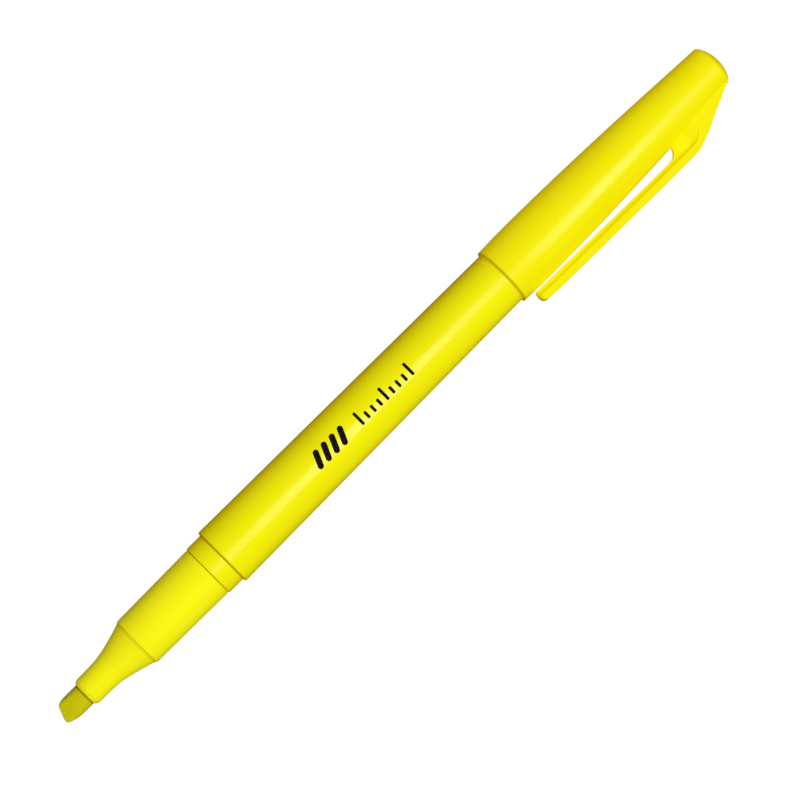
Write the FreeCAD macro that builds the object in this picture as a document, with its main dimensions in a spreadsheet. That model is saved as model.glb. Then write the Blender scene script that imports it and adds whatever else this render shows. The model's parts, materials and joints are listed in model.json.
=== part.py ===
"""Pocket highlighter with its cap posted on the barrel's tail.

Millimetres. The pen's axis is X, with the nib towards +X.
The origin is the centre of the collar that the cap pushes onto when the nib is covered.
The pen is drawn with its clip towards +Y. lie_down then turns it about its axis, so that it lies
on a table on its barrel and the edge of its clip, with the clip on the +Y side.
A station is a distance from the origin along -X. A depth is measured into the cap from its mouth.
"""

import FreeCAD
import Part
import Sketcher

import math
import os
import re

OUTPUT_FOLDER = "parts"

DIMENSIONS = {
    # barrel
    "collar_radius": 4.86,
    "collar_length": 3.20,
    "shoulder_radius": 5.39,
    "tail_radius": 4.50,
    "tail_station": 83.0,
    "edge_round": 0.20,
    "joint_chamfer": 0.12,
    "bore_front_radius": 3.85,
    "bore_rear_radius": 3.60,
    "rib_radius": 3.44,
    "rib_width": 0.60,
    "rib_margin": 1.0,
    # front section
    "socket_radius": 3.95,
    "socket_depth": 8.0,
    "socket_lead": 0.60,
    "socket_chamfer": 0.20,
    "grip_rear_radius": 4.71,
    "grip_front_radius": 4.54,
    "crease_radius": 4.31,
    "crease_length": 0.50,
    "crease_ahead": 17.64,
    "cone_ahead": 24.9,
    "cone_curve": 24.0,
    "ferrule_radius": 2.56,
    "section_ahead": 29.0,
    "lip_round": 0.80,
    "lip_depth": 0.65,
    "lip_height": 0.32,
    "chamber_radius": 3.42,
    "chamber_step": 0.50,
    "chamber_slope": 2.0,
    "nib_seat_ahead": 21.7,
    # nib
    "nib_radius": 2.02,
    "nib_clearance": 0.03,
    "nib_ahead": 34.2,
    "nib_rear_ahead": 4.5,
    "nib_rear_taper": 0.80,
    "nib_rear_step": 0.50,
    "nib_rear_gap": 0.10,
    "chisel_thickness": 2.0,
    "chisel_length": 4.3,
    "slant_back": 1.95,
    "slant_heel": 0.80,
    "slant_heel_height": 0.62,
    "slant_heel_round": 0.90,
    "slant_point": 1.10,
    "slant_nose": 0.08,
    "slant_nose_height": 0.83,
    "slant_nose_round": 0.25,
    "slant_brow": 0.75,
    "slant_brow_height": 0.50,
    "slant_brow_length": 2.9,
    "slant_brow_curve": 4.5,
    # reservoir
    "reservoir_radius": 3.30,
    "reservoir_ahead": 10.5,
    "reservoir_gap": 0.50,
    "film_thickness": 0.08,
    "film_inset": 0.30,
    # end plug
    "plug_radius": 3.75,
    "plug_depth": 4.5,
    "plug_wall": 0.70,
    "plug_lead": 0.50,
    "plug_chamfer": 0.20,
    "plug_well": 0.40,
    "plug_well_slope": 0.60,
    "plug_well_step": 0.30,
    "plug_flange_radius": 4.05,
    "plug_flange": 0.60,
    "plug_dome": 0.35,
    # cap
    "mouth_station": 65.0,
    "cap_length": 49.9,
    "cap_mouth_radius": 5.33,
    "cap_swell_radius": 5.45,
    "cap_swell_depth": 5.0,
    "cap_swell_curve": 90.0,
    "cap_taper_radius": 4.34,
    "cap_taper_depth": 39.0,
    "cap_taper_curve": 681.0,
    "cap_end_radius": 3.94,
    "cap_end_round": 0.42,
    "cap_dome": 1.0,
    "cap_fit": 0.05,
    "cap_grip_depth": 4.5,
    "cap_lead": 0.30,
    "cap_lead_step": 0.20,
    "cavity_knee_depth": 19.5,
    "cavity_knee_radius": 4.66,
    "cavity_end_depth": 48.3,
    "cavity_end_radius": 3.24,
    # cap liner
    "liner_depth": 24.0,
    "liner_length": 14.6,
    "liner_flange": 1.2,
    "liner_radius": 3.00,
    "liner_wall": 0.35,
    "liner_lead": 0.40,
    "liner_lead_step": 0.25,
    # clip
    "clip_width": 4.20,
    "clip_thickness": 2.08,
    "clip_recess": 0.70,
    "clip_root_station": 100.1,
    "clip_root_height": 7.15,
    "clip_root_gap": 0.10,
    "clip_tip_station": 66.7,
    "clip_tip_lift": 5.70,
    "clip_tip_thickness": 2.04,
    "clip_tip_heel_round": 0.45,
    "clip_tip_nose_round": 1.10,
    "clip_tip_nose_lean": 0.10,
    "clip_tip_length": 6.0,
    "clip_tip_rise": 0.16,
    "clip_flange": 1.22,
    "arm_recess_root": 2.0,
    "arm_recess_tip": 1.0,
    # web between the cap and the clip
    "web_slope_station": 105.2,
    "web_slope_height": 7.04,
    "web_curve": 12.6,
    "web_front_radius": 4.50,
    "web_front_inset": 0.30,
    "web_lip_radius": 5.38,
    "web_lip_inset": 0.80,
    "web_lip_round": 0.60,
    "web_end_inset": 1.42,
    "web_end_sink": 0.55,
    "web_toe_inset": 2.0,
    "web_toe_sink": 1.40,
    "web_recess_front": 2.0,
    "web_recess_front_radius": 4.45,
    "web_recess_rear": 1.2,
    "web_recess_rear_radius": 4.10,
    "web_recess_turn": 1.4,
    "web_recess_turn_end": 0.40,
    "web_recess_fall": 1.0,
    "web_recess_round": 1.5,
    # how the pen lies
    "table_gap": 0.02,
}

ALIAS = re.compile(r"\b(" + "|".join(sorted(DIMENSIONS, key=len, reverse=True)) + r")\b")

document = FreeCAD.newDocument("Highlighter")
sheet = document.addObject("Spreadsheet::Sheet", "Dims")


def fill_sheet():
    """One row per driving dimension: its name, and its value under an alias."""
    for row, (alias, size) in enumerate(DIMENSIONS.items(), start=1):
        sheet.set(f"A{row}", alias)
        sheet.set(f"B{row}", str(size))
        sheet.setAlias(f"B{row}", alias)
    document.recompute()


def bound(formula):
    """A formula in dimension names, written so that an object can be bound to it."""
    return ALIAS.sub(r"Dims.\1", formula)


def value(formula):
    return float(sheet.evalExpression(bound(formula)))


def new_body(label):
    body = document.addObject("PartDesign::Body", label)
    body.Label = label
    return body


def origin_feature(body, role):
    return next(feature for feature in body.Origin.OriginFeatures if feature.Role == role)


def sketch_on(body, name, role="XY_Plane", lift=None):
    """A sketch on one of the body's origin planes, or lifted off it along its normal."""
    sketch = body.newObject("Sketcher::SketchObject", name)
    sketch.AttachmentSupport = [(origin_feature(body, role), "")]
    sketch.MapMode = "FlatFace"
    if lift:
        sketch.setExpression("AttachmentOffset.Base.z", bound(lift))
    return sketch


def arc_between(start, end, radius, turn):
    """The short arc from start to end, turning left (+1) or right (-1)."""
    chord = end - start
    half = chord.Length / 2
    across = FreeCAD.Vector(-chord.y, chord.x, 0).normalize() * turn
    centre = (start + end) * 0.5 + across * math.sqrt(radius**2 - half**2)
    middle = centre - across * radius
    return Part.Arc(start, middle, end)


def near_end(sketch, edge, point):
    """Which end of a sketch edge lies at a point: 1 for its start, 2 for its end."""
    gaps = [(sketch.getPoint(edge, end) - point).Length for end in (1, 2)]
    return 1 + gaps.index(min(gaps))


def draw_outline(sketch, corners):
    """A closed outline. Each corner is (x, y), or (x, y, radius, turn) when an arc leads on from it."""
    points = [FreeCAD.Vector(value(corner[0]), value(corner[1]), 0) for corner in corners]
    following = points[1:] + points[:1]
    edges = []
    for corner, start, end in zip(corners, points, following):
        if len(corner) == 2:
            edges.append(sketch.addGeometry(Part.LineSegment(start, end)))
        else:
            edges.append(sketch.addGeometry(arc_between(start, end, value(corner[2]), corner[3])))
    for index, (corner, point) in enumerate(zip(corners, points)):
        edge, before = edges[index], edges[index - 1]
        own_end = near_end(sketch, edge, point)
        joined_end = near_end(sketch, before, point)
        sketch.addConstraint(Sketcher.Constraint("Coincident", before, joined_end, edge, own_end))
        for axis, place in (("X", point.x), ("Y", point.y)):
            held = sketch.addConstraint(
                Sketcher.Constraint("Distance" + axis, -1, 1, edge, own_end, place))
            sketch.setExpression(f"Constraints[{held}]", bound(corner["XY".index(axis)]))
        if len(corner) == 4:
            held = sketch.addConstraint(Sketcher.Constraint("Radius", edge, value(corner[2])))
            sketch.setExpression(f"Constraints[{held}]", bound(corner[2]))


def turned(body, name, corners, kind="PartDesign::Revolution"):
    """A Revolution or a Groove: the outline turned round the pen's axis."""
    sketch = sketch_on(body, name + "_outline")
    draw_outline(sketch, corners)
    feature = body.newObject(kind, name)
    feature.Profile = sketch
    feature.ReferenceAxis = (sketch, ["H_Axis"])
    feature.Angle = 360
    document.recompute()
    return feature


def plate(body, name, corners, width):
    """A Pad of an outline in the clip's plane, centred on that plane."""
    sketch = sketch_on(body, name + "_outline")
    draw_outline(sketch, corners)
    pad = body.newObject("PartDesign::Pad", name)
    pad.Profile = sketch
    pad.SideType = "Symmetric"
    pad.setExpression("Length", bound(width))
    document.recompute()
    return pad


def through_cut(body, name, corners, role):
    """A Pocket both ways through the body from one of its origin planes."""
    sketch = sketch_on(body, name + "_outline", role)
    draw_outline(sketch, corners)
    pocket = body.newObject("PartDesign::Pocket", name)
    pocket.Profile = sketch
    pocket.SideType = "Symmetric"
    pocket.setExpression("Length", bound("4 * nib_radius"))
    document.recompute()
    return pocket


def side_recesses(body, name, corners):
    """The same shallow Pocket in both flanks of the clip's plate."""
    sketch = sketch_on(body, name + "_outline", lift="clip_width / 2")
    draw_outline(sketch, corners)
    pocket = body.newObject("PartDesign::Pocket", name)
    pocket.Profile = sketch
    pocket.setExpression("Length", bound("clip_recess"))
    document.recompute()
    mirror = mirrored(body, name + "_mirrored", pocket)
    document.recompute()
    return mirror


def mirrored(body, name, feature):
    """The feature repeated on the other side of the clip's plane."""
    mirror = body.newObject("PartDesign::Mirrored", name)
    mirror.Originals = [feature]
    mirror.MirrorPlane = (origin_feature(body, "XY_Plane"), [""])
    body.Tip = mirror
    document.recompute()
    return mirror


def barrel():
    body = new_body("barrel")
    plug_seat = "-(tail_station - plug_depth)"
    turned(body, "barrel_tube", [
        ("collar_length / 2", "socket_radius"),
        ("collar_length / 2", "collar_radius - joint_chamfer"),
        ("collar_length / 2 - joint_chamfer", "collar_radius"),
        ("-collar_length / 2", "collar_radius"),
        ("-collar_length / 2", "shoulder_radius - edge_round", "edge_round", 1),
        ("-collar_length / 2 - edge_round", "shoulder_radius"),
        ("-mouth_station", "collar_radius"),
        ("-(tail_station - 2 * edge_round)", "tail_radius", "2 * edge_round", 1),
        ("-tail_station", "tail_radius - 2 * edge_round"),
        ("-tail_station", "plug_radius"),
        (plug_seat, "plug_radius"),
        (plug_seat, "bore_rear_radius"),
        ("-socket_depth", "bore_front_radius"),
        ("-socket_depth", "socket_radius"),
    ])
    rib_front = "-(socket_depth + rib_margin)"
    rib_rear = "-(tail_station - plug_depth - rib_margin)"
    rib = plate(body, "barrel_rib", [
        (rib_front, "rib_radius"),
        (rib_front, "socket_radius"),
        (rib_rear, "socket_radius"),
        (rib_rear, "rib_radius"),
    ], "rib_width")
    ribs = body.newObject("PartDesign::PolarPattern", "barrel_ribs")
    ribs.Originals = [rib]
    ribs.Axis = (origin_feature(body, "X_Axis"), [""])
    ribs.Angle = 360
    ribs.Occurrences = 4
    body.Tip = ribs
    return body


def front_section():
    body = new_body("front_section")
    turned(body, "section_shell", [
        ("section_ahead", "nib_radius + nib_clearance"),
        ("section_ahead", "ferrule_radius - lip_height", "lip_round", 1),
        ("section_ahead - lip_depth", "ferrule_radius"),
        ("cone_ahead", "ferrule_radius", "cone_curve", -1),
        ("crease_ahead", "crease_radius"),
        ("crease_ahead - crease_length", "grip_front_radius"),
        ("collar_length / 2 + joint_chamfer", "grip_rear_radius"),
        ("collar_length / 2", "grip_rear_radius - joint_chamfer"),
        ("collar_length / 2", "socket_radius"),
        ("-socket_depth + socket_lead", "socket_radius"),
        ("-socket_depth", "socket_radius - socket_chamfer"),
        ("-socket_depth", "chamber_radius"),
        ("reservoir_ahead + reservoir_gap", "chamber_radius"),
        ("reservoir_ahead + chamber_slope", "chamber_radius - chamber_step"),
        ("nib_seat_ahead", "ferrule_radius"),
        ("nib_seat_ahead", "nib_radius + nib_clearance"),
    ])
    return body


def nib():
    body = new_body("nib")
    turned(body, "nib_rod", [
        ("nib_rear_ahead", "0"),
        ("nib_rear_ahead", "nib_radius - nib_rear_step"),
        ("nib_rear_ahead + nib_rear_taper", "nib_radius"),
        ("nib_ahead", "nib_radius"),
        ("nib_ahead", "0"),
    ])
    clear = "2 * nib_radius"
    through_cut(body, "nib_slant", [
        ("nib_ahead - slant_brow_length", "nib_radius", "slant_brow_curve", -1),
        ("nib_ahead - slant_brow", "nib_radius - slant_brow_height"),
        ("nib_ahead - slant_nose", "nib_radius - slant_nose_height", "slant_nose_round", -1),
        ("nib_ahead", "nib_radius - slant_point"),
        ("nib_ahead - slant_heel", "-nib_radius + slant_heel_height", "slant_heel_round", -1),
        ("nib_ahead - slant_back", "-nib_radius"),
        ("nib_ahead - slant_back", f"-{clear}"),
        (f"nib_ahead + {clear}", f"-{clear}"),
        (f"nib_ahead + {clear}", clear),
        ("nib_ahead - slant_brow_length", clear),
    ], "XY_Plane")
    bevel = through_cut(body, "nib_bevel", [
        ("nib_ahead - chisel_length", "nib_radius"),
        ("nib_ahead", "chisel_thickness / 2"),
        (f"nib_ahead + {clear}", "chisel_thickness / 2"),
        (f"nib_ahead + {clear}", clear),
        ("nib_ahead - chisel_length", clear),
    ], "XZ_Plane")
    mirrored(body, "nib_bevels", bevel)
    return body


def reservoir_core():
    body = new_body("reservoir_core")
    plug_face = "-(tail_station - plug_depth)"
    turned(body, "core_rod", [
        (plug_face, "0"),
        (plug_face, "reservoir_radius"),
        ("reservoir_ahead", "reservoir_radius"),
        ("reservoir_ahead", "nib_radius + nib_clearance"),
        ("nib_rear_ahead - nib_rear_gap", "nib_radius + nib_clearance"),
        ("nib_rear_ahead - nib_rear_gap", "0"),
    ])
    return body


def reservoir_film():
    body = new_body("reservoir_film")
    film_rear = "-(tail_station - plug_depth - film_inset)"
    turned(body, "film_wrap", [
        (film_rear, "reservoir_radius"),
        (film_rear, "reservoir_radius + film_thickness"),
        ("reservoir_ahead - film_inset", "reservoir_radius + film_thickness"),
        ("reservoir_ahead - film_inset", "reservoir_radius"),
    ])
    return body


def dome_radius(edge, rise):
    """The radius of the ball whose dome has this edge radius and rise, centred on the axis."""
    return f"(({edge}) ^ 2 + {rise} ^ 2) / (2 * {rise})"


def end_plug():
    body = new_body("end_plug")
    front = "-(tail_station - plug_depth)"
    dome_edge = "plug_flange_radius - plug_flange / 2"
    turned(body, "plug_cup", [
        ("-(tail_station + plug_flange + plug_dome)", "0"),
        ("-tail_station - plug_well", "0"),
        ("-tail_station - plug_well", "plug_radius - plug_wall - plug_well_step"),
        ("-tail_station - plug_well + plug_well_slope", "plug_radius - plug_wall"),
        (front, "plug_radius - plug_wall"),
        (front, "plug_radius - plug_chamfer"),
        (f"{front} - plug_lead", "plug_radius"),
        ("-tail_station", "plug_radius"),
        ("-tail_station", "plug_flange_radius"),
        ("-(tail_station + plug_flange / 2)", "plug_flange_radius", "plug_flange / 2", 1),
        ("-(tail_station + plug_flange)", dome_edge, dome_radius(dome_edge, "plug_dome"), 1),
    ])
    return body


def cavity_radius(depth):
    """The cap's inner radius at a depth beyond the cavity's knee."""
    fall = "(cavity_knee_radius - cavity_end_radius) / (cavity_end_depth - cavity_knee_depth)"
    return f"cavity_knee_radius - ({depth} - cavity_knee_depth) * {fall}"


def at_depth(depth):
    return f"-(mouth_station + {depth})"


def cap():
    body = new_body("cap")
    dome_edge = "cap_end_radius - cap_end_round"
    turned(body, "cap_body", [
        (at_depth("0"), "0"),
        (at_depth("0"), "cap_mouth_radius - edge_round / 2"),
        (at_depth("edge_round / 2"), "cap_mouth_radius", "cap_swell_curve", 1),
        (at_depth("cap_swell_depth"), "cap_swell_radius", "cap_taper_curve", 1),
        (at_depth("cap_taper_depth"), "cap_taper_radius"),
        (at_depth("cap_length - cap_dome - cap_end_round"), "cap_end_radius", "cap_end_round", 1),
        (at_depth("cap_length - cap_dome"), dome_edge, dome_radius(dome_edge, "cap_dome"), 1),
        (at_depth("cap_length"), "0"),
    ])
    half = "clip_thickness / 2"
    pocket_radius = f"({half} + clip_root_gap)"
    pocket_foot = f"clip_root_height - {pocket_radius}"
    top = f"clip_root_height + {half}"
    overhang = f"sqrt({pocket_radius} ^ 2 - ({half}) ^ 2)"
    plate(body, "clip_web", [
        ("-clip_root_station + clip_root_gap", "cavity_end_radius"),
        ("-clip_root_station + web_front_inset", "web_front_radius"),
        ("-clip_root_station + web_lip_inset", "web_lip_radius"),
        ("-clip_root_station + web_lip_round", f"{pocket_foot} - clip_root_gap"),
        ("-clip_root_station", pocket_foot, pocket_radius, -1),
        (f"-clip_root_station - {pocket_radius}", "clip_root_height", pocket_radius, -1),
        (f"-clip_root_station - {overhang}", top, "web_curve", 1),
        ("-web_slope_station", "web_slope_height"),
        (at_depth("cap_length - web_end_inset"), "cap_end_radius - web_end_sink"),
        (at_depth("cap_length - web_toe_inset"), "cap_end_radius - web_toe_sink"),
    ], "clip_width")
    flange_line = f"{top} - clip_flange"
    side_recesses(body, "web_recess", [
        ("-clip_root_station + web_recess_front", "web_recess_front_radius"),
        ("-clip_root_station + web_recess_front", flange_line),
        ("-web_slope_station + web_recess_turn", flange_line, "web_recess_round", 1),
        ("-web_slope_station + web_recess_turn_end", "web_slope_height - web_recess_fall"),
        ("-web_slope_station - web_recess_rear", "web_recess_rear_radius"),
    ])
    turned(body, "cap_cavity", [
        (at_depth("-cap_lead"), "0"),
        (at_depth("-cap_lead"), "collar_radius + cap_fit + cap_lead_step"),
        (at_depth("0"), "collar_radius + cap_fit + cap_lead_step"),
        (at_depth("cap_lead"), "collar_radius + cap_fit"),
        (at_depth("cap_grip_depth"), "collar_radius + cap_fit"),
        (at_depth("cavity_knee_depth"), "cavity_knee_radius"),
        (at_depth("cavity_end_depth"), "cavity_end_radius"),
        (at_depth("cavity_end_depth"), "0"),
    ], "PartDesign::Groove")
    return body


def cap_liner():
    body = new_body("cap_liner")
    flange_end = "liner_depth + liner_flange"
    floor = "liner_depth + liner_length"
    turned(body, "liner_cup", [
        (at_depth("liner_depth"), "liner_radius + liner_lead_step"),
        (at_depth("liner_depth"), cavity_radius("liner_depth")),
        (at_depth(flange_end), cavity_radius(f"({flange_end})")),
        (at_depth(flange_end), "liner_radius + liner_wall"),
        (at_depth(floor), "liner_radius + liner_wall"),
        (at_depth(floor), "0"),
        (at_depth(f"{floor} - liner_wall"), "0"),
        (at_depth(f"{floor} - liner_wall"), "liner_radius"),
        (at_depth("liner_depth + liner_lead"), "liner_radius"),
    ])
    return body


def clip():
    body = new_body("clip")
    half = "clip_thickness / 2"
    tip_top = "clip_tip_lift + clip_tip_thickness"
    plate(body, "clip_arm", [
        ("-clip_root_station", f"clip_root_height + {half}", half, 1),
        (f"-clip_root_station - {half}", "clip_root_height", half, 1),
        ("-clip_root_station", f"clip_root_height - {half}"),
        ("-clip_tip_station - clip_tip_heel_round", "clip_tip_lift", "clip_tip_heel_round", 1),
        ("-clip_tip_station", "clip_tip_lift + clip_tip_heel_round"),
        ("-clip_tip_station - clip_tip_nose_lean", "clip_tip_lift + clip_tip_nose_round",
         "clip_tip_nose_round", 1),
        ("-clip_tip_station - clip_tip_nose_round", tip_top),
        ("-clip_tip_station - clip_tip_length", f"{tip_top} + clip_tip_rise"),
    ], "clip_width")
    below = "clip_tip_lift - clip_thickness / 2"
    side_recesses(body, "arm_recess", [
        ("-clip_root_station - arm_recess_root", below),
        ("-clip_root_station - arm_recess_root", f"clip_root_height + {half} - clip_flange"),
        ("-clip_tip_station + arm_recess_tip", f"{tip_top} - clip_flange"),
        ("-clip_tip_station + arm_recess_tip", below),
    ])
    return body


def lie_down(bodies):
    """Turns the pen about its axis until the clip's lower edge meets the table under the cap."""
    edge_height = value("clip_root_height + clip_thickness / 2")
    edge_side = value("clip_width / 2")
    table_depth = value("cap_swell_radius - table_gap")
    lowered = math.asin(table_depth / math.hypot(edge_height, edge_side))
    roll = math.degrees(lowered - math.atan2(edge_side, edge_height))
    for body in bodies:
        body.Placement = FreeCAD.Placement(
            FreeCAD.Vector(0, 0, 0), FreeCAD.Rotation(FreeCAD.Vector(1, 0, 0), -roll))
    print(f"roll {roll:.4f} degrees")


def check(bodies):
    """Stops on anything that failed to build."""
    for item in document.Objects:
        failed = [state for state in item.State if state in ("Invalid", "Error")]
        if failed:
            raise RuntimeError(f"{item.Label}: {failed}")
    for body in bodies:
        if body.Shape.isNull() or not body.Shape.isValid() or len(body.Shape.Solids) != 1:
            raise RuntimeError(f"{body.Label}: no valid single solid")


def write(bodies):
    os.makedirs(OUTPUT_FOLDER, exist_ok=True)
    for body in bodies:
        body.Shape.exportStep(os.path.join(OUTPUT_FOLDER, body.Label + ".step"))
        box = body.Shape.optimalBoundingBox(False)
        print(f"{body.Label:16s} {body.Shape.Volume:8.1f} mm3   x {box.XMin:8.2f} {box.XMax:8.2f}")
        print(f"{'':17s} y {box.YMin:6.2f} {box.YMax:6.2f}   z {box.ZMin:6.2f} {box.ZMax:6.2f}")


fill_sheet()
sub_parts = [
    barrel(),
    front_section(),
    nib(),
    reservoir_core(),
    reservoir_film(),
    end_plug(),
    cap(),
    cap_liner(),
    clip(),
]
lie_down(sub_parts)
document.recompute()
check(sub_parts)
write(sub_parts)
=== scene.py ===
import json
import math

import bmesh
import bpy
from mathutils import Matrix, Vector


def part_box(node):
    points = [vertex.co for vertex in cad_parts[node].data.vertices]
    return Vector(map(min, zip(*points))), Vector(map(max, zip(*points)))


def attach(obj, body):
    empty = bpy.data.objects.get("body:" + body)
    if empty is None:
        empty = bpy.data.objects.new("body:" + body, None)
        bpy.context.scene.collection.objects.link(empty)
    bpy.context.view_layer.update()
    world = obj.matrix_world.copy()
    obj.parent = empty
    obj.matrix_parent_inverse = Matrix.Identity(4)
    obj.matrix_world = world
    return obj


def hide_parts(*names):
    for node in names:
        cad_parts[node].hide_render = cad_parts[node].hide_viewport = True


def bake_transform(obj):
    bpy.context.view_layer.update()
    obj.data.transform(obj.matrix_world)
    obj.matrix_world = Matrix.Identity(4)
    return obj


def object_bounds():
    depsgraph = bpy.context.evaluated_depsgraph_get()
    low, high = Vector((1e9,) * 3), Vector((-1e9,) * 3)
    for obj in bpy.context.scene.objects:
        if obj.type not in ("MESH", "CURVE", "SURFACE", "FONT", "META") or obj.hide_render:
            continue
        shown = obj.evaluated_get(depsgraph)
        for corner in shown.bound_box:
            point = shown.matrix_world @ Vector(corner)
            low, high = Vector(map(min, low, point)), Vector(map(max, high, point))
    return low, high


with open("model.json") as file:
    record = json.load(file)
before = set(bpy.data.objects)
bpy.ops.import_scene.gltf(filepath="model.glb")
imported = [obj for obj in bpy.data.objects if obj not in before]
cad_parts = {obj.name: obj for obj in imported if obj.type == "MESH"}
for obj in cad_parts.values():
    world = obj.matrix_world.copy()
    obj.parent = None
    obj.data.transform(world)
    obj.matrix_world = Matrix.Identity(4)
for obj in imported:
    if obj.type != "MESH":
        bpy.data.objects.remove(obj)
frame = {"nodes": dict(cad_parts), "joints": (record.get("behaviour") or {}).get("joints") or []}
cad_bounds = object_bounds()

MM = 0.001
RING = 160                       # segments round each turned piece
PRINT_PROUD = 0.012              # mm that the printed ink stands on the barrel


# ---------------------------------------------------------------- the frame

def joint(name):
    return next(j for j in frame["joints"] if j["name"] == name)


up = Vector(joint("clip_flex")["axis"]).normalized()      # square to the pen and to its clip
along = Vector((1, 0, 0))                                  # towards the nib
side = up.cross(along)                                     # from the pen's axis towards the clip


def low(node):
    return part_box(node)[0].x / MM


def high(node):
    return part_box(node)[1].x / MM


def place(x, towards_clip, sideways):
    """A point given in mm along the pen, towards the clip and square to both, in the row frame."""
    return (along * x + side * towards_clip + up * sideways) * MM


# ---------------------------------------------------------------- mesh helpers

def finished(name, points, faces):
    mesh = bpy.data.meshes.new(name)
    mesh.from_pydata([tuple(p) for p in points], [], faces)
    work = bmesh.new()
    work.from_mesh(mesh)
    bmesh.ops.recalc_face_normals(work, faces=work.faces)
    work.to_mesh(mesh)
    work.free()
    mesh.polygons.foreach_set("use_smooth", [True] * len(mesh.polygons))
    piece = bpy.data.objects.new(name, mesh)
    bpy.context.scene.collection.objects.link(piece)
    return piece


def rounded(corners, closed):
    """Rounds each corner (x, r, radius) of an outline. A corner of two numbers stays sharp."""
    points = []
    count = len(corners)
    for i, corner in enumerate(corners):
        here = Vector(corner[:2])
        if len(corner) == 2 or (not closed and i in (0, count - 1)):
            points.append(here)
            continue
        back = Vector(corners[i - 1][:2]) - here
        ahead = Vector(corners[(i + 1) % count][:2]) - here
        half = back.angle(ahead) / 2
        reach = min(corner[2] / math.tan(half), 0.45 * back.length, 0.45 * ahead.length)
        radius = reach * math.tan(half)
        centre = here + (back.normalized() + ahead.normalized()).normalized() * (radius / math.sin(half))
        first = here + back.normalized() * reach - centre
        turn = first.angle_signed(here + ahead.normalized() * reach - centre)
        steps = max(3, round(abs(turn) / math.radians(13)))
        for k in range(steps + 1):
            spin = Matrix.Rotation(-turn * k / steps, 2)
            points.append(centre + spin @ first)
    return points


def subdivided(points, closed, step=1.2, margin=0.035):
    """Adds points along an outline, close to its corners too, so that smooth shading stays true."""
    result = []
    pairs = list(zip(points, points[1:] + points[:1])) if closed else list(zip(points, points[1:]))
    for start, end in pairs:
        length = (end - start).length
        result.append(start)
        if length > 4 * margin:
            near = start.lerp(end, margin / length)
            far = start.lerp(end, 1 - margin / length)
            inner = max(1, math.ceil(length / step))
            result += [near.lerp(far, k / inner) for k in range(inner + 1)]
    if not closed:
        result.append(points[-1])
    return result


def turned(name, corners, closed=True, step=1.2):
    """A solid of revolution about the pen's axis. An open outline starts and ends on the axis."""
    outline = subdivided(rounded(corners, closed), closed, step)
    points, rings, faces = [], [], []
    for x, radius in outline:
        if radius < 1e-6:
            rings.append([len(points)])
            points.append(place(x, 0, 0))
            continue
        rings.append(list(range(len(points), len(points) + RING)))
        for k in range(RING):
            angle = math.tau * k / RING
            points.append(place(x, radius * math.cos(angle), radius * math.sin(angle)))
    pairs = list(zip(rings, rings[1:] + rings[:1])) if closed else list(zip(rings, rings[1:]))
    for a, b in pairs:
        for k in range(RING):
            n = (k + 1) % RING
            if len(a) == 1:
                faces.append((a[0], b[n], b[k]))
            elif len(b) == 1:
                faces.append((a[k], a[n], b[0]))
            else:
                faces.append((a[k], a[n], b[n], b[k]))
    return finished(name, points, faces)


def lofted(name, rings):
    """A closed solid through rings of equal length, with a fan over each end."""
    count = len(rings[0])
    points = [p for ring in rings for p in ring]
    faces = []
    for r in range(len(rings) - 1):
        for k in range(count):
            n = (k + 1) % count
            faces.append((r * count + k, r * count + n, (r + 1) * count + n, (r + 1) * count + k))
    for ring, base in ((rings[0], 0), (rings[-1], (len(rings) - 1) * count)):
        middle = len(points)
        points.append(sum(ring, Vector()) / count)
        faces += [(base + k, base + (k + 1) % count, middle) for k in range(count)]
    return finished(name, points, faces)


def smooth_line(knots):
    """A function through (x, y) knots that bends smoothly and never overshoots."""
    xs = [k[0] for k in knots]
    ys = [k[1] for k in knots]
    slopes = [(ys[i + 1] - ys[i]) / (xs[i + 1] - xs[i]) for i in range(len(xs) - 1)]
    tangents = [slopes[0]]
    for a, b in zip(slopes, slopes[1:]):
        tangents.append(0 if a * b <= 0 else 2 * a * b / (a + b))
    tangents.append(slopes[-1])

    def line(x):
        if x <= xs[0]:
            return ys[0]
        if x >= xs[-1]:
            return ys[-1]
        i = max(k for k in range(len(xs) - 1) if xs[k] <= x)
        span = xs[i + 1] - xs[i]
        t = (x - xs[i]) / span
        return ((1 + 2 * t) * (1 - t) ** 2 * ys[i] + t * (1 - t) ** 2 * span * tangents[i]
                + t * t * (3 - 2 * t) * ys[i + 1] + t * t * (t - 1) * span * tangents[i + 1])
    return line


def span(start, end, count):
    return [start + (end - start) * k / (count - 1) for k in range(count)]


# ---------------------------------------------------------------- stations along the pen, in mm

collar_end = high("barrel")                                # the joint with the front section
shoulder = -collar_end                                     # the collar is centred on the origin
tail = low("barrel")
section_end = high("front_section")
crease = section_end - 11.36                               # where the grip meets the cone
cap_mouth = high("cap")
cap_end = low("cap")


# ---------------------------------------------------------------- materials

def shader(name, base, roughness, **sockets):
    material = bpy.data.materials.new(name)
    material.use_nodes = True
    material.diffuse_color = (*base, 1)
    nodes = material.node_tree.nodes
    principled = nodes["Principled BSDF"]
    principled.inputs["Base Color"].default_value = (*base, 1)
    principled.inputs["Roughness"].default_value = roughness
    for socket, value in sockets.items():
        principled.inputs[socket.replace("_", " ")].default_value = value
    return material, nodes, material.node_tree.links, principled


def noise(nodes, links, where, scale, detail=2.0, distortion=0.0):
    node = nodes.new("ShaderNodeTexNoise")
    node.inputs["Scale"].default_value = scale
    node.inputs["Detail"].default_value = detail
    node.inputs["Distortion"].default_value = distortion
    links.new(where, node.inputs["Vector"])
    return node.outputs["Fac"]


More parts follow.
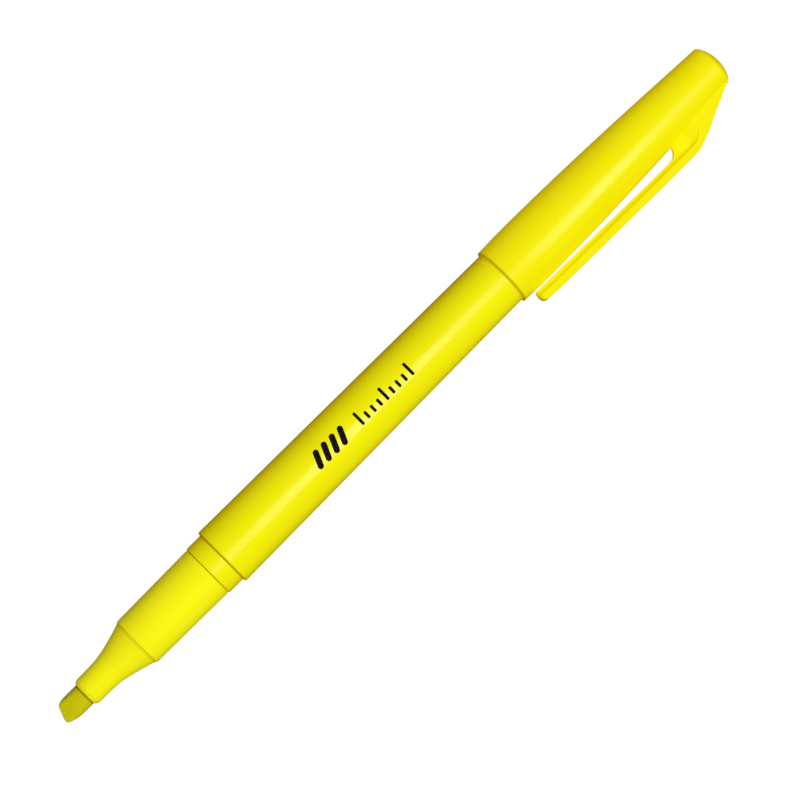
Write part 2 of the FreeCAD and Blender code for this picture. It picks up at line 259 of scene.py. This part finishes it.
def stretched(nodes, links, stretch):
    coordinates = nodes.new("ShaderNodeTexCoord")
    mapping = nodes.new("ShaderNodeMapping")
    mapping.inputs["Scale"].default_value = stretch
    links.new(coordinates.outputs["Object"], mapping.inputs["Vector"])
    return mapping.outputs["Vector"]


def ranged(nodes, links, source, from_low, from_high, to_low, to_high):
    node = nodes.new("ShaderNodeMapRange")
    limits = {"From Min": from_low, "From Max": from_high, "To Min": to_low, "To Max": to_high}
    for socket, value in limits.items():
        node.inputs[socket].default_value = value
    links.new(source, node.inputs["Value"])
    return node.outputs["Result"]


def blended(nodes, links, amount, first, second):
    node = nodes.new("ShaderNodeMix")
    node.data_type = "RGBA"
    for socket, source in ((node.inputs[6], first), (node.inputs[7], second)):
        if isinstance(source, tuple):
            socket.default_value = (*source, 1)
        else:
            links.new(source, socket)
    links.new(amount, node.inputs[0])
    return node.outputs[2]


def bumped(nodes, links, principled, heights):
    """Chains one bump per (height, strength, distance in mm)."""
    last = None
    for height, strength, distance in heights:
        node = nodes.new("ShaderNodeBump")
        node.inputs["Strength"].default_value = strength
        node.inputs["Distance"].default_value = distance * MM
        links.new(height, node.inputs["Height"])
        if last is not None:
            links.new(last, node.inputs["Normal"])
        last = node.outputs["Normal"]
    links.new(last, principled.inputs["Normal"])


def ringed(nodes, links, rings):
    """1 on the rings round the pen given as (x, half width) in mm, fading to 0 at their edges."""
    coordinates = nodes.new("ShaderNodeTexCoord")
    split = nodes.new("ShaderNodeSeparateXYZ")
    links.new(coordinates.outputs["Object"], split.inputs["Vector"])
    total = None
    for x, half in rings:
        apart = nodes.new("ShaderNodeMath")
        apart.operation = "SUBTRACT"
        links.new(split.outputs["X"], apart.inputs[0])
        apart.inputs[1].default_value = x * MM
        size = nodes.new("ShaderNodeMath")
        size.operation = "ABSOLUTE"
        links.new(apart.outputs["Value"], size.inputs[0])
        here = ranged(nodes, links, size.outputs["Value"], 0.45 * half * MM, half * MM, 1, 0)
        if total is not None:
            most = nodes.new("ShaderNodeMath")
            most.operation = "MAXIMUM"
            links.new(total, most.inputs[0])
            links.new(here, most.inputs[1])
            here = most.outputs["Value"]
        total = here
    return total


def moulded(name, base, deep, pale, roughness, grain, painted_glow=0.0, painted_glow_colour=None, rings=(), painted_shade_colour=None):
    """Moulded, dyed plastic: clouded dye, handled patches, paler edges, painted shade on the rings at seams and
    steps, a painted glow, a fine grain.
    """
    material, nodes, links, principled = shader(
        name, base, roughness, Specular_IOR_Level=0.4, IOR=1.49)
    # painted light: an orange-tinted emission that lifts the plastic's shaded side, though the pen is no lamp
    if painted_glow:
        principled.inputs["Emission Color"].default_value = (*painted_glow_colour, 1)
        principled.inputs["Emission Strength"].default_value = painted_glow
    even = stretched(nodes, links, (1, 1, 1))
    drawn = stretched(nodes, links, (0.12, 1, 1))
    clouds = ranged(nodes, links, noise(nodes, links, even, 55, 3), 0.35, 0.7, 0, 0.8)
    dye = blended(nodes, links, clouds, base, deep)
    geometry = nodes.new("ShaderNodeNewGeometry")
    edge = ranged(nodes, links, geometry.outputs["Pointiness"], 0.53, 0.62, 0, 0.55)
    colour = blended(nodes, links, edge, dye, pale)
    # painted shade: on the given rings the colour darkens and the glow dims, where shade falls in seams, steps
    # and the cap's mouth
    if rings:
        painted_shade_mask = ringed(nodes, links, rings)
        colour = blended(nodes, links, painted_shade_mask, colour, painted_shade_colour)
        links.new(ranged(nodes, links, painted_shade_mask, 0, 1, painted_glow, 0.6 * painted_glow), principled.inputs["Emission Strength"])
    links.new(colour, principled.inputs["Base Color"])
    handled = noise(nodes, links, even, 140, 4, 0.4)
    links.new(ranged(nodes, links, handled, 0.3, 0.75, roughness - 0.05, roughness + 0.09),
              principled.inputs["Roughness"])
    bumped(nodes, links, principled, [
        (noise(nodes, links, even, 5200, 2), grain, 0.012),
        (noise(nodes, links, drawn, 900, 2), 0.5 * grain, 0.02),
        (noise(nodes, links, even, 160, 2), 0.25 * grain, 0.06),
    ])
    return material


def fibre(name, base, deep, roughness, depth, rings=(), painted_shade_colour=None):
    """Bonded fibres drawn along the pen: fine streaks and open pores, and painted shade at the rings."""
    material, nodes, links, principled = shader(name, base, roughness, Specular_IOR_Level=0.25)
    drawn = stretched(nodes, links, (0.08, 1, 1))
    even = stretched(nodes, links, (1, 1, 1))
    streaks = noise(nodes, links, drawn, 4200, 3)
    soaked = noise(nodes, links, even, 520, 3)
    shade = blended(nodes, links, ranged(nodes, links, streaks, 0.35, 0.7, 0, 0.5), base, deep)
    tone = blended(nodes, links, ranged(nodes, links, soaked, 0.45, 0.75, 0, 0.45), shade, deep)
    # painted shade: darker on the given rings, where the nib goes into its holder
    if rings:
        tone = blended(nodes, links, ringed(nodes, links, rings), tone, painted_shade_colour)
    links.new(tone, principled.inputs["Base Color"])
    links.new(ranged(nodes, links, soaked, 0.3, 0.7, roughness - 0.08, roughness + 0.08),
              principled.inputs["Roughness"])
    bumped(nodes, links, principled, [
        (streaks, depth, 0.03),
        (noise(nodes, links, even, 7000, 2), depth, 0.02),
    ])
    return material


def printed(name):
    """Pad-printed ink: near black, slightly uneven, with pinholes."""
    material, nodes, links, principled = shader(name, (0.008, 0.005, 0.006), 0.42, Specular_IOR_Level=0.4)
    even = stretched(nodes, links, (1, 1, 1))
    uneven = noise(nodes, links, even, 1500, 3)
    links.new(blended(nodes, links, ranged(nodes, links, uneven, 0.4, 0.75, 0, 1),
                      (0.006, 0.004, 0.005), (0.022, 0.016, 0.012)), principled.inputs["Base Color"])
    links.new(ranged(nodes, links, uneven, 0.3, 0.7, 0.36, 0.5), principled.inputs["Roughness"])
    bumped(nodes, links, principled, [(noise(nodes, links, even, 6000, 2), 0.25, 0.01)])
    return material


# painted light and shade: each yellow plastic's glow lifts its shaded side, fitted piece by piece and strongest
# on the cap; its rings are painted shade at the collar seam, the shoulder, the grip's crease and the cap's
# mouth
barrel_plastic = moulded(
    "barrel_plastic", (0.79, 0.86, 0.0), (0.75, 0.80, 0.0), (0.88, 0.90, 0.02), 0.20, 0.10,
    painted_glow=0.145, painted_glow_colour=(1, 0.25, 0),
    rings=[(collar_end, 0.17), (shoulder - 0.05, 0.26)], painted_shade_colour=(0.50, 0.50, 0.0))
section_plastic = moulded(
    "section_plastic", (0.82, 0.85, 0.0), (0.78, 0.79, 0.0), (0.88, 0.90, 0.02), 0.36, 0.16,
    painted_glow=0.165, painted_glow_colour=(1, 0.60, 0),
    rings=[(collar_end, 0.17), (crease, 0.30)], painted_shade_colour=(0.72, 0.745, 0.0))
cap_plastic = moulded(
    "cap_plastic", (0.63, 0.68, 0.0), (0.59, 0.63, 0.0), (0.74, 0.77, 0.02), 0.20, 0.10,
    painted_glow=0.325, painted_glow_colour=(1, 0.60, 0),
    rings=[(cap_mouth, 0.46)], painted_shade_colour=(0.36, 0.35, 0.0))
liner_plastic = moulded("liner_plastic", (0.85, 0.82, 0.25), (0.80, 0.76, 0.20), (0.9, 0.88, 0.4), 0.42, 0.2)
film_plastic = moulded("film_plastic", (0.85, 0.85, 0.80), (0.80, 0.80, 0.72), (0.9, 0.9, 0.88), 0.18, 0.1)
# painted shade: the nib darkens on a ring where it goes into the front section
nib_fibre = fibre(
    "nib_fibre", (0.65, 0.59, 0.0), (0.51, 0.46, 0.0), 0.72, 0.5,
    rings=[(section_end, 0.5)], painted_shade_colour=(0.33, 0.29, 0.0))
reservoir_fibre = fibre("reservoir_fibre", (0.80, 0.74, 0.02), (0.66, 0.60, 0.01), 0.85, 0.6)
print_ink = printed("printed_mark")


def dress(piece, material):
    piece.data.materials.clear()
    piece.data.materials.append(material)


# ---------------------------------------------------------------- barrel

COLLAR_RADIUS = 4.86
SHOULDER_RADIUS = 5.39
BORE = 3.75
SOCKET_RADIUS = 3.95
SOCKET_DEPTH = 8.0
PLUG_RADIUS = 4.03
SEAM_DEPTH = 0.24                # mm, of the groove where the front section meets the collar
SEAM_LIP = 0.15                  # mm, of the chamfer on each side of that groove


def barrel_radius(x):
    """The barrel's outer radius between its shoulder and the posted cap's mouth."""
    return SHOULDER_RADIUS + (COLLAR_RADIUS - SHOULDER_RADIUS) * (x - shoulder) / (cap_mouth - shoulder)


barrel_shell = turned("barrel_shell", [
    (collar_end, SOCKET_RADIUS),
    (collar_end, COLLAR_RADIUS - SEAM_DEPTH, 0.03),
    (collar_end - SEAM_LIP, COLLAR_RADIUS, 0.06),
    (shoulder + 0.04, COLLAR_RADIUS, 0.1),
    (shoulder, SHOULDER_RADIUS, 0.3),
    (cap_mouth, COLLAR_RADIUS),
    (tail, 4.5, 0.4),
    (tail, BORE, 0.05),
    (-SOCKET_DEPTH, BORE),
    (-SOCKET_DEPTH, SOCKET_RADIUS),
])
dress(barrel_shell, barrel_plastic)
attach(barrel_shell, "pen")
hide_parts("barrel")

plug_end = low("end_plug")
plug_front = high("end_plug")
plug_cup = turned("plug_cup", [
    (plug_end, 0),
    (plug_end + 0.03, 1.2),
    (plug_end + 0.12, 2.4),
    (plug_end + 0.33, 3.62, 0.3),
    (tail - 0.42, PLUG_RADIUS, 0.22),
    (tail - 0.02, PLUG_RADIUS, 0.05),
    (tail - 0.02, BORE - 0.02, 0.03),
    (plug_front - 0.5, BORE - 0.02, 0.1),
    (plug_front, BORE - 0.22, 0.06),
    (plug_front, 3.05, 0.08),
    (tail - 0.2, 3.0, 0.2),
    (tail - 0.4, 2.6, 0.2),
    (tail - 0.4, 0),
], closed=False)
dress(plug_cup, barrel_plastic)
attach(plug_cup, "pen")
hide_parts("end_plug")


# ---------------------------------------------------------------- front section

FERRULE_RADIUS = 2.56
CREASE_RADIUS = 4.31
GRIP_RADIUS = 4.71
NIB_HOLE = 2.08
RESERVOIR_SEAT = 3.42            # bore that takes the reservoir's front end
SEAT_END = 11.0                  # station where that bore narrows
NIB_HOLE_REAR = 21.7             # station where the nib's hole opens into it
section_rear = low("front_section")
cone_start = section_end - 2.0
cone = smooth_line([
    (crease, CREASE_RADIUS), (crease + 1.4, 3.85), (crease + 2.85, 3.44), (crease + 4.6, 2.995),
    (crease + 5.9, 2.745), (crease + 6.9, 2.645), (crease + 7.8, 2.60), (cone_start, FERRULE_RADIUS)])
section_grip = turned("section_grip", [
    (section_end, NIB_HOLE, 0.08),
    (section_end, 2.26, 0.12),
    (section_end - 0.62, FERRULE_RADIUS, 0.35),
    *[(x, cone(x)) for x in span(cone_start + 0.6, crease + 0.35, 26)],
    (crease, CREASE_RADIUS, 0.05),
    (crease - 0.36, 4.55, 0.16),
    (collar_end + SEAM_LIP, GRIP_RADIUS, 0.05),
    (collar_end, GRIP_RADIUS - SEAM_DEPTH, 0.03),
    (collar_end, SOCKET_RADIUS - 0.01),
    (section_rear + 0.6, SOCKET_RADIUS - 0.01, 0.1),
    (section_rear, SOCKET_RADIUS - 0.2, 0.05),
    (section_rear, RESERVOIR_SEAT),
    (SEAT_END, RESERVOIR_SEAT),
    (12.5, 2.92),
    (NIB_HOLE_REAR, FERRULE_RADIUS - 0.1),
    (NIB_HOLE_REAR, NIB_HOLE),
], step=0.9)
dress(section_grip, section_plastic)
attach(section_grip, "pen")
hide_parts("front_section")


# ---------------------------------------------------------------- nib

NIB_RADIUS = 2.02
NIB_RING = 112                   # points round the nib
CHISEL_LENGTH = 4.3
CHISEL_HALF = 0.98               # half the chisel's thickness
CHISEL_CORNER = 7                # the higher, the sharper the corners of the chisel's section
CUT_RISE = 0.075                 # mm that the middle of the cut face stands proud of its rim
nib_end = high("nib")
nib_rear = low("nib")

# how far the cut face lies behind the nib's foremost point, across its width
slant = smooth_line([
    (-NIB_RADIUS, -2.4), (-1.98, -1.9), (-1.87, -1.36), (-1.66, -1.02), (-1.35, -0.79), (-0.7, -0.535),
    (0.0, -0.27), (0.60, -0.05), (0.90, 0.0), (1.12, -0.03), (1.33, -0.17), (1.60, -0.72), (1.82, -1.42),
    (1.96, -2.15), (NIB_RADIUS, -2.9)])
REAR_RINGS = ((0, 0.70), (0.1, 0.76), (0.8, 0.985), (0.95, 1.0))      # (mm from the rear, scale)
CUT_RINGS = ((0.985, -0.012), (0.955, 0.028), (0.91, 0.055), (0.8, 0.07), (0.6, CUT_RISE), (0.35, CUT_RISE))


def nib_ring(x_of, grow, thin):
    """A ring of the nib. thin is how far the chisel's two flats have closed in at this place."""
    ring = []
    for k in range(NIB_RING):
        angle = math.tau * k / NIB_RING
        wide = math.cos(angle) * NIB_RADIUS
        deep = math.sin(angle) * NIB_RADIUS
        limit = NIB_RADIUS + (CHISEL_HALF - NIB_RADIUS) * thin
        softened = deep / (1 + (abs(deep) / limit) ** CHISEL_CORNER) ** (1 / CHISEL_CORNER)
        ring.append(place(x_of(wide), wide * grow, softened * grow))
    return ring


def nib_rings():
    rings = []
    for ahead, grow in REAR_RINGS:
        rings.append(nib_ring(lambda wide, x=nib_rear + ahead: x, grow, 0))
    start = nib_end - CHISEL_LENGTH
    rings += [nib_ring(lambda wide, x=x: x, 1, 0) for x in span(nib_rear + 2, start, 18)]
    for t in span(0.03, 1, 30):
        def x_of(wide, t=t):
            return start + CHISEL_LENGTH * t + t ** 1.6 * slant(wide)
        rings.append(nib_ring(x_of, 1, t))
    for inset, rise in CUT_RINGS:
        def x_of(wide, inset=inset, rise=rise):
            return nib_end + slant(wide * min(1, inset + 0.05)) + rise - CUT_RISE
        rings.append(nib_ring(x_of, inset, 1))
    return rings


nib_rod = lofted("nib_rod", nib_rings())
dress(nib_rod, nib_fibre)
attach(nib_rod, "pen")
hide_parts("nib")


# ---------------------------------------------------------------- cap

cap_outline = smooth_line([
    (0, 5.33), (1.6, 5.385), (3.2, 5.43), (5, 5.447), (8, 5.435), (10.5, 5.41), (13.7, 5.355), (18.6, 5.24),
    (23.5, 5.08), (28.4, 4.90), (32.9, 4.705), (39.8, 4.365), (44.7, 4.115), (48.48, 3.94)])


def depth(value):
    """The station at a depth behind the cap's mouth."""
    return cap_mouth - value


cap_length = cap_mouth - cap_end
CAP_CORNER = 3.94
CORNER_AHEAD = 1.42              # mm from the cap's end to that corner
DOME_RADIUS = 6.7
MOUTH_BORE = 5.04
CAP_BORE = 4.91
THROAT_BORE = 4.66
CAVITY_RADIUS = 3.24
CAVITY_END = 48.3                # depth of the cavity
WEB_SLOPE = 0.465
WEB_AHEAD = 2.9                  # mm from the cap's end to where the web's edge stands at WEB_HEIGHT
WEB_HEIGHT = 4.10
TRIM_REACH = 3.5                 # mm of the cap's end that the web's edge trims


def dome(radius):
    """How far the cap's domed end falls back at a radius."""
    return DOME_RADIUS - math.sqrt(DOME_RADIUS ** 2 - radius ** 2)


def web_line(x):
    """The height towards the clip of the web's sloping edge, which also cuts the corner of the cap's end."""
    if x >= cap_end + TRIM_REACH:
        return math.inf
    return WEB_HEIGHT - WEB_SLOPE * (cap_end + WEB_AHEAD - x)


cap_shell = turned("cap_shell", [
    *[(cap_end + dome(radius), radius) for radius in span(0, 3.3, 12)],
    (cap_end + dome(3.62), 3.62, 0.6),
    (cap_end + CORNER_AHEAD, CAP_CORNER, 0.5),
    *[(depth(d), cap_outline(d)) for d in span(cap_length - 1.75, cap_length - 4.3, 16)],
    *[(depth(d), cap_outline(d)) for d in span(cap_length - 5.2, 0.5, 43)],
    (depth(0), cap_outline(0), 0.24),
    (depth(0), MOUTH_BORE, 0.05),
    (depth(0.3), CAP_BORE, 0.1),
    (depth(4.5), CAP_BORE, 0.3),
    (depth(19.5), THROAT_BORE),
    (depth(CAVITY_END), CAVITY_RADIUS, 0.3),
    (depth(CAVITY_END), 0),
], closed=False)
for vertex in cap_shell.data.vertices:
    proud = side.dot(vertex.co) / MM - web_line(vertex.co.x / MM)
    if proud > 0:
        vertex.co -= side * proud * MM
dress(cap_shell, cap_plastic)
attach(cap_shell, "cap")
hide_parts("cap")

LINER_RADIUS = 3.0
liner_front = high("cap_liner")
liner_end = low("cap_liner")
liner_cup = turned("liner_cup_piece", [
    (liner_end, 0),
    (liner_end, LINER_RADIUS + 0.33, 0.3),
    (liner_front - 1.2, LINER_RADIUS + 0.35, 0.2),
    (liner_front - 1.2, 4.36, 0.08),
    (liner_front, 4.42, 0.08),
    (liner_front, LINER_RADIUS + 0.25, 0.08),
    (liner_front - 0.4, LINER_RADIUS, 0.1),
    (liner_end + 0.35, LINER_RADIUS, 0.2),
    (liner_end + 0.35, 0),
], closed=False)
dress(liner_cup, liner_plastic)
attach(liner_cup, "cap")
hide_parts("cap_liner")


# ---------------------------------------------------------------- clip with its web

CLIP_HALF = 2.1
TIP_TRIM = 0.3                   # mm that the moulded tip stays behind the CAD's square one
TIP_CORNER = 0.9                 # mm, of its rounding seen from above
TIP_NOSE = 1.05                  # mm, of its rounding on the outside, seen from the side
TIP_HEEL = 0.5                   # mm, of its rounding on the inside
HEEL_RISE = 0.48
TIP_STATIONS = (0, 0.01, 0.03, 0.06, 0.1, 0.16, 0.24, 0.34, 0.46, 0.6, 0.76, 0.92, 1.06, 1.3)
RIB_DRAFT = 0.24                 # slope of the rib's sides, so that the moulding leaves its tool
WEB_END = 46.8                   # mm behind the tip
clip_tip = high("clip")

# the clip's profile, by mm behind its tip: outside, inside, under the flange, the flange's overhang past the
# rib, and how far the inside follows the cap's wall
clip_top = smooth_line([
    (0, 7.77), (0.8, 7.80), (5.5, 7.965), (20, 8.145), (31, 8.245), (34.2, 8.25), (35.5, 8.13),
    (37.1, 7.68), (38.8, 7.02), (42, 5.54), (WEB_END, 3.39)])
clip_bottom = smooth_line([
    (0, 5.70), (0.7, 5.70), (15, 5.93), (30.2, 6.17), (31.3, 6.11), (31.85, 5.93), (32.25, 5.60),
    (32.6, 5.12), (33.0, 4.45), (33.45, 4.10), (WEB_END, 3.0)])
flange_under = smooth_line([
    (0, 6.50), (5.5, 6.66), (20, 6.84), (31, 6.94), (34.6, 6.93), (35.8, 6.80), (36.6, 6.50),
    (37.2, 6.1), (38.2, 5.2), (WEB_END, 2.9)])
recess_depth = smooth_line([
    (0, 0.80), (20, 0.95), (33, 1.05), (35.2, 0.88), (36.4, 0.42), (37.2, 0.14), (37.9, 0.04), (WEB_END, 0.03)])
wall_follow = smooth_line([(0, 0), (32.3, 0), (33.6, 1), (WEB_END, 1)])


def corner(centre_z, centre_y, radius, start, end, count, tall=None):
    """Points round a corner of a section. tall makes it an ellipse, of that half height."""
    points = []
    for degrees in span(start, end, count):
        turn = math.radians(degrees)
        points.append((centre_z + radius * math.cos(turn), centre_y + (tall or radius) * math.sin(turn)))
    return points


def clip_section(back):
    """The clip's section at a distance behind its tip, as (sideways, towards clip) points."""
    top, bottom, under, sunk = clip_top(back), clip_bottom(back), flange_under(back), recess_depth(back)
    ahead = back - TIP_TRIM
    tip = max(0.0, 1 - ahead / TIP_NOSE)
    if tip:
        squeeze = 1 - math.sqrt(max(0, 1 - tip * tip))
        top -= squeeze
        heel = max(0.0, 1 - ahead / TIP_HEEL)
        bottom += HEEL_RISE * (1 - math.sqrt(max(0, 1 - heel * heel)))
        under = min(under, top - 0.25) - 0.1 * squeeze
    half = CLIP_HALF - TIP_CORNER * (1 - math.sqrt(1 - max(0.0, 1 - ahead / TIP_CORNER) ** 2))
    inner = half - sunk
    under = max(under, bottom + 0.2)
    edge = min(0.2, 0.4 * (top - under))
    lower = min(0.14, 0.4 * sunk)
    fillet = 0.9 * (sunk - lower)
    hollow = min(0.75, 1.3 * sunk, 0.84 * (under - bottom))
    foot = min(0.05, 0.2 * (under - bottom))
    follow = wall_follow(back)
    points = [(z, top + 0.02 * (1 - (z / half) ** 2)) for z in span(0, half - edge - 0.04, 5)]
    points += corner(half - edge, top - edge, edge, 90, 0, 6)
    points += [(half, y) for y in span(top - edge - 0.03, under + lower + 0.03, 4)]
    points += corner(half - lower, under + lower, lower, 0, -90, 5)
    points += corner(inner + fillet, under - hollow, fillet, 90, 180, 10, tall=hollow)
    points += [(inner, y) for y in span(under - hollow - 0.03, bottom + foot + 0.03, 6)]
    points += corner(inner - foot, bottom + foot, foot, 0, -90, 4)
    points += [(z, bottom) for z in span(inner - foot - 0.04, 0, 5)]
    draft = RIB_DRAFT * (1 - follow) / inner
    points = [(z * (1 - draft * max(0.0, under - y)), y) for z, y in points]
    if follow:
        wall = cap_outline(cap_mouth - (clip_tip - back)) - 0.25
        moved = []
        for z, y in points:
            if y < bottom + foot + 0.02:
                drop = math.sqrt(max(0.1, wall * wall - z * z)) - bottom
                y += follow * drop * (1 if y < bottom + foot else 0.5)
            moved.append((z, y))
        points = moved
    return points + [(-z, y) for z, y in points[-2:0:-1]]


clip_stations = [TIP_TRIM + station for station in TIP_STATIONS]
clip_stations += span(2, 29, 28) + span(29.5, 38.9, 64) + span(39.3, WEB_END, 20)
clip_moulding = lofted("clip_moulding", [
    [place(clip_tip - back, y, z) for z, y in clip_section(back)] for back in clip_stations])
dress(clip_moulding, cap_plastic)
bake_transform(clip_moulding)
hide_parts("clip")


# ---------------------------------------------------------------- printed mark

def capsule(centre_x, centre_arc, length, width, lean):
    """A printed stroke wrapped round the barrel, as two grids of points: the ink's face and its back."""
    half = width / 2
    ends = [half * math.sin(math.radians(a)) for a in span(0, 88, 6)]
    marks = [-length / 2 - e for e in reversed(ends)] + span(-length / 2 + 0.1, length / 2 - 0.1, 7)
    marks += [length / 2 + e for e in ends]
    face, back = [], []
    for u in marks:
        over = max(0.0, abs(u) - length / 2)
        reach = math.sqrt(max(1e-4, half * half - over * over))
        for v in span(-reach, reach, 5):
            x = centre_x + u * math.sin(lean) + v * math.cos(lean)
            arc = centre_arc + u * math.cos(lean) - v * math.sin(lean)
            radius = barrel_radius(x)
            angle = arc / radius
            for points, proud in ((face, PRINT_PROUD), (back, -0.03)):
                points.append(place(x, (radius + proud) * math.sin(angle), (radius + proud) * math.cos(angle)))
    return face, back, len(marks), 5


def stroke_mesh(name, strokes):
    points, faces = [], []
    for face, back, rows, columns in strokes:
        base, under = len(points), len(points) + len(face)
        points += face + back
        for r in range(rows - 1):
            for c in range(columns - 1):
                quad = [r * columns + c, r * columns + c + 1, (r + 1) * columns + c + 1, (r + 1) * columns + c]
                faces.append([base + q for q in quad])
                faces.append([under + q for q in reversed(quad)])
        rim = [c for c in range(columns)] + [r * columns + columns - 1 for r in range(1, rows)]
        rim += [(rows - 1) * columns + c for c in range(columns - 2, -1, -1)]
        rim += [r * columns for r in range(rows - 2, 0, -1)]
        for a, b in zip(rim, rim[1:] + rim[:1]):
            faces.append([base + a, under + a, under + b, base + b])
    return finished(name, points, faces)


BOLD_MIDDLE = -25.95             # stations of the two groups of strokes
FINE_MIDDLE = -37.95
BOLD_LENGTH = 2.3
BOLD_WIDTH = 1.0
BOLD_LEAN = math.radians(24)
FINE_WIDTH = 0.52
bold_strokes = [capsule(BOLD_MIDDLE + ahead, -0.1, BOLD_LENGTH, BOLD_WIDTH, BOLD_LEAN)
                for ahead in (2.7, 0.9, -0.9, -2.7)]
fine_strokes = []
for k in range(9):
    centre_arc, length = (0.35, 0.9) if k % 4 else (-0.15, 2.1)
    fine_strokes.append(capsule(FINE_MIDDLE + 5.6 - 1.4 * k, centre_arc, length, FINE_WIDTH, 0))
for name, strokes in (("printed_bars", bold_strokes), ("printed_ticks", fine_strokes)):
    piece = stroke_mesh(name, strokes)
    dress(piece, print_ink)
    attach(piece, "pen")

for node, material, slot in (("reservoir_core", reservoir_fibre, "reservoir_fibre"),
                             ("reservoir_film", film_plastic, "film_plastic")):
    dress(frame["nodes"][node], material)


# ---------------------------------------------------------------- floor, light and camera

FLOOR_HALF = 6.0                 # m


def floor():
    """It glows white and reflects next to nothing, so no shadow shows. Only the camera sees it, not the pen."""
    material, nodes, links, principled = shader("floor_white", (0.05, 0.05, 0.05), 0.85, Specular_IOR_Level=0.0)
    even = stretched(nodes, links, (1, 1, 1))
    tone = blended(nodes, links, noise(nodes, links, even, 12, 2), (0.045, 0.045, 0.045), (0.055, 0.055, 0.055))
    links.new(tone, principled.inputs["Base Color"])
    principled.inputs["Emission Color"].default_value = (1, 1, 1, 1)
    principled.inputs["Emission Strength"].default_value = 0.98
    bottom = cad_bounds[0][2]
    mesh = bpy.data.meshes.new("floor")
    signs = ((-1, -1), (1, -1), (1, 1), (-1, 1))
    mesh.from_pydata([(x * FLOOR_HALF, y * FLOOR_HALF, bottom) for x, y in signs], [], [(0, 1, 2, 3)])
    ground = bpy.data.objects.new("floor", mesh)
    mesh.materials.append(material)
    bpy.context.scene.collection.objects.link(ground)
    ground.visible_diffuse = False
    ground.visible_glossy = False


def softbox(name, lean, x, distance, length, breadth, power, glossy=True, diffuse=True, only=(), turn=0):
    """An area light facing the pen at x, tilted by lean towards the clip and by turn towards the nib."""
    target = place(x, 0, 0)
    away = up * math.cos(math.radians(lean)) + side * math.sin(math.radians(lean))
    away = away * math.cos(math.radians(turn)) + along * math.sin(math.radians(turn))
    lamp = bpy.data.lights.new(name, "AREA")
    lamp.shape = "RECTANGLE"
    lamp.size, lamp.size_y, lamp.energy = length, breadth, power
    light = bpy.data.objects.new(name, lamp)
    across = away.cross(along).normalized()
    lengthwise = across.cross(away)
    light.matrix_world = Matrix.Translation(target + away * distance) @ Matrix(
        (lengthwise, across, away)).transposed().to_4x4()
    light.visible_glossy = glossy
    light.visible_diffuse = diffuse
    bpy.context.scene.collection.objects.link(light)
    if only:
        receivers = bpy.data.collections.new(name + "_receivers")
        for piece in only:
            receivers.objects.link(piece)
        light.light_linking.receiver_collection = receivers


floor()
# one lamp, without receivers, lights everything and makes the streak lamps light their piece diffusely
softbox("key", lean=17, x=-40, distance=0.75, length=0.5, breadth=0.34, power=4.55, glossy=False, turn=-7)
softbox("streak_barrel", lean=14, x=-80, distance=0.57, length=0.066, breadth=0.33, power=0.37,
        diffuse=False, only=[barrel_shell])
softbox("streak_cap", lean=26, x=-207, distance=0.57, length=0.058, breadth=0.33, power=0.36,
        diffuse=False, only=[cap_shell])

world = bpy.data.worlds.new("studio")
world.use_nodes = True
background = world.node_tree.nodes["Background"]
background.inputs["Color"].default_value = (1, 1, 1, 1)
background.inputs["Strength"].default_value = 0.30
world.cycles_visibility.glossy = False
bpy.context.scene.world = world
bpy.context.scene.view_settings.view_transform = "Standard"

AIM_X = -39.5                    # mm, the point in the middle of the picture
AIM_SIDE = 2.415
CAMERA_DISTANCE = 569.7          # mm
CAMERA_TILT = math.radians(4.46)
CAMERA_ROLL = math.radians(0.06)
aim = place(AIM_X, AIM_SIDE, 0)
away = along * math.sin(CAMERA_TILT) + up * math.cos(CAMERA_TILT)
tailwards = -along * math.cos(CAMERA_TILT) + up * math.sin(CAMERA_TILT)
turned_tail = tailwards * math.cos(CAMERA_ROLL) + side * math.sin(CAMERA_ROLL)
turned_side = side * math.cos(CAMERA_ROLL) - tailwards * math.sin(CAMERA_ROLL)
lens = bpy.data.cameras.new("camera")
lens.lens = 160
lens.sensor_width = 36
lens.clip_start = 0.01
camera = bpy.data.objects.new("camera", lens)
rightward = (turned_tail + turned_side).normalized()
upward = (turned_tail - turned_side).normalized()
camera.matrix_world = Matrix.Translation(aim + away * CAMERA_DISTANCE * MM) @ Matrix(
    (rightward, upward, away)).transposed().to_4x4()
bpy.context.scene.collection.objects.link(camera)
bpy.context.scene.camera = camera
